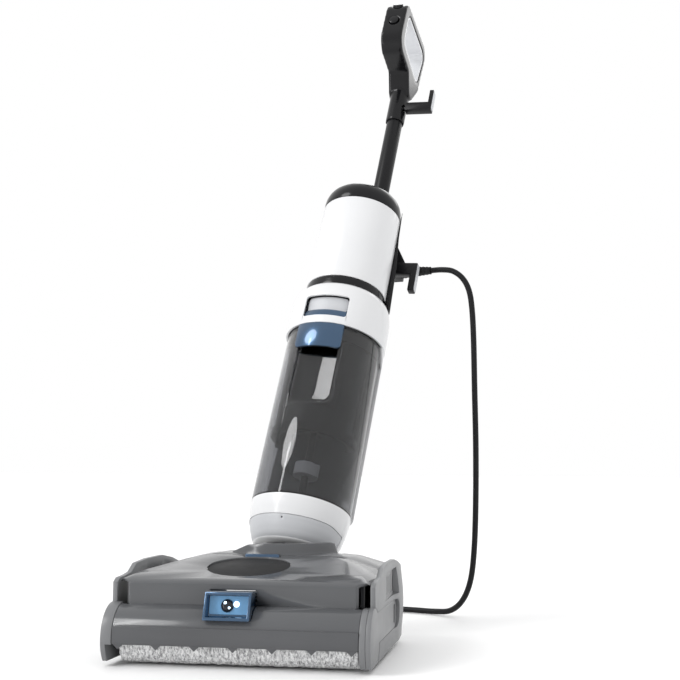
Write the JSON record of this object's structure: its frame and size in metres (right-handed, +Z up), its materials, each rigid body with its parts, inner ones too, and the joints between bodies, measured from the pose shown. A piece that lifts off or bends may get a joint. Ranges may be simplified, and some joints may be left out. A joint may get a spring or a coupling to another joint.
{
  "type": "wet dry floor scrubber",
  "caption": "Corded upright wet and dry floor washer with a powered roller head, a swivelling, reclining neck, front dirty tank, rear clean tank and loop handle.",
  "frame": {"origin": "on the floor, at the middle of the sole under the head", "axes": "+X to the machine's right, +Y to its rear, +Z up"},
  "size_m": [0.3866, 0.6836, 0.9235],
  "materials": {
    "smoked_shell": "smoked translucent, glossy",
    "white_gloss": "glossy",
    "pale_grey": "satin",
    "mid_grey": "satin",
    "black_gloss": "glossy",
    "black_satin": "satin",
    "blue_metallic": "metallic blue, glossy",
    "smoked_tank": "smoked clear polycarbonate",
    "clear_tank": "frosted clear",
    "steel": "satin",
    "rubber": "matte",
    "pile": "grey and white microfibre pile",
    "cord_black": "matte sheath",
    "silver_lining": "satin silver",
    "screen": "dark glossy"
  },
  "bodies": {
    "head": {"chassis": "black_satin", "rear_cover": "smoked_shell", "side_panel_left": "mid_grey", "side_panel_right": "mid_grey", "wheel_axles": "steel", "scraper_comb": "black_satin", "squeegee": "rubber", "spray_bar": "mid_grey", "roller_motor": "steel", "drive_belt": "rubber", "suction_mouth": "mid_grey", "head_screws": "steel"},
    "front_cover": {"front_cover": "smoked_shell", "front_bumper": "mid_grey", "light_window": "blue_metallic", "latch_bezel": "black_gloss"},
    "cover_latch": {"cover_latch": "blue_metallic"},
    "rear_wheel_left": {"rear_wheel_left": "rubber"},
    "rear_wheel_right": {"rear_wheel_right": "rubber"},
    "castor_left": {"castor_left": "black_satin"},
    "castor_right": {"castor_right": "black_satin"},
    "roller_cap": {"roller_cap": "mid_grey"},
    "roller": {"roller_core": "mid_grey", "roller_pile": "pile"},
    "motor_pulley": {"motor_pulley": "mid_grey"},
    "neck": {"swivel_turret": "black_satin", "hinge_pin": "steel", "cord_run": "cord_black", "cord_coil": "cord_black", "cord_tie": "rubber", "plug": "black_satin"},
    "main_body": {"knuckle": "black_satin", "bottom_cap": "white_gloss", "skirt_panel": "pale_grey", "rear_shell": "white_gloss", "collar": "white_gloss", "black_ring": "black_gloss", "motor_housing": "white_gloss", "motor_cap": "black_gloss", "display": "screen", "spine": "black_gloss", "suction_motor": "steel", "water_pump": "mid_grey", "steam_boiler": "steel", "tube": "black_satin", "handle_shell": "black_gloss", "handle_lining": "silver_lining", "lower_hook": "black_satin", "cord_gland": "rubber"},
    "dirty_tank": {"tank_shell": "smoked_tank", "tank_grip": "blue_metallic", "tank_lid": "black_satin", "filter_basket": "black_satin"},
    "float": {"float": "pale_grey"},
    "clean_tank": {"clean_tank": "clear_tank"},
    "release_button": {"release_button": "blue_metallic"},
    "impeller": {"impeller": "pale_grey"},
    "upper_hook": {"upper_hook": "black_satin"},
    "power_button": {"power_button": "black_gloss"},
    "mode_button": {"mode_button": "black_gloss"}
  },
  "joints": [
    {"name": "front_cover_lift", "type": "slide", "parent": "head", "child": "front_cover", "axis": [0, 0, 1], "range_m": [0, 0.08]},
    {"name": "cover_latch_press", "type": "slide", "parent": "front_cover", "child": "cover_latch", "axis": [0, 0, -1], "range_m": [0, 0.002], "stiffness_N_per_m": 800, "springref_m": -0.001},
    {"name": "rear_wheel_left_spin", "type": "hinge", "parent": "head", "child": "rear_wheel_left", "pos_m": [-0.111, 0.088, 0.024], "axis": [1, 0, 0], "continuous": true},
    {"name": "rear_wheel_right_spin", "type": "hinge", "parent": "head", "child": "rear_wheel_right", "pos_m": [0.111, 0.088, 0.024], "axis": [1, 0, 0], "continuous": true},
    {"name": "castor_left_spin", "type": "hinge", "parent": "head", "child": "castor_left", "pos_m": [-0.103, -0.052, 0.009], "axis": [1, 0, 0], "continuous": true},
    {"name": "castor_right_spin", "type": "hinge", "parent": "head", "child": "castor_right", "pos_m": [0.103, -0.052, 0.009], "axis": [1, 0, 0], "continuous": true},
    {"name": "roller_pull_out", "type": "slide", "parent": "head", "child": "roller_cap", "axis": [1, 0, 0], "range_m": [0, 0.25]},
    {"name": "roller_spin", "type": "hinge", "parent": "roller_cap", "child": "roller", "pos_m": [0, -0.103, 0.027], "axis": [1, 0, 0], "continuous": true},
    {"name": "motor_spin", "type": "hinge", "parent": "head", "child": "motor_pulley", "pos_m": [-0.128, -0.02, 0.052], "axis": [1, 0, 0], "continuous": true},
    {"name": "swivel", "type": "hinge", "parent": "head", "child": "neck", "pos_m": [0, 0.102, 0.053], "axis": [0, 0, 1], "range_deg": [-10, 42]},
    {"name": "recline", "type": "hinge", "parent": "neck", "child": "main_body", "pos_m": [0, 0.102, 0.053], "axis": [-0.9613, 0.2756, 0], "range_deg": [-23.5, 36.5]},
    {"name": "dirty_tank_slide", "type": "slide", "parent": "main_body", "child": "dirty_tank", "axis": [-0.1165, -0.9113, 0.3949], "range_m": [0, 0.12]},
    {"name": "float_slide", "type": "slide", "parent": "dirty_tank", "child": "float", "axis": [0.1099, 0.3833, 0.9171], "range_m": [0, 0.03]},
    {"name": "clean_tank_slide", "type": "slide", "parent": "main_body", "child": "clean_tank", "axis": [0.1165, 0.9113, -0.3949], "range_m": [0, 0.045]},
    {"name": "tank_release_press", "type": "slide", "parent": "main_body", "child": "release_button", "axis": [0.1165, 0.9113, -0.3949], "range_m": [0, 0.004], "stiffness_N_per_m": 900, "springref_m": -0.001},
    {"name": "impeller_spin", "type": "hinge", "parent": "main_body", "child": "impeller", "pos_m": [0.05825, 0.30515, 0.53904], "axis": [0.1099, 0.3833, 0.9171], "continuous": true},
    {"name": "upper_hook_turn", "type": "hinge", "parent": "main_body", "child": "upper_hook", "pos_m": [0.12643, 0.4455, 0.75899], "axis": [0.9871, -0.1503, -0.0555], "range_deg": [0, 180]},
    {"name": "power_button_press", "type": "slide", "parent": "main_body", "child": "power_button", "axis": [0.0186, 0.4517, -0.892], "range_m": [0, 0.0015], "stiffness_N_per_m": 900, "springref_m": -0.001},
    {"name": "mode_button_press", "type": "slide", "parent": "main_body", "child": "mode_button", "axis": [0.1165, 0.9113, -0.3949], "range_m": [0, 0.0015], "stiffness_N_per_m": 900, "springref_m": -0.001}
  ],
  "couplings": [
    {"joint": "motor_spin", "follows": "roller_spin", "ratio": 1}
  ]
}
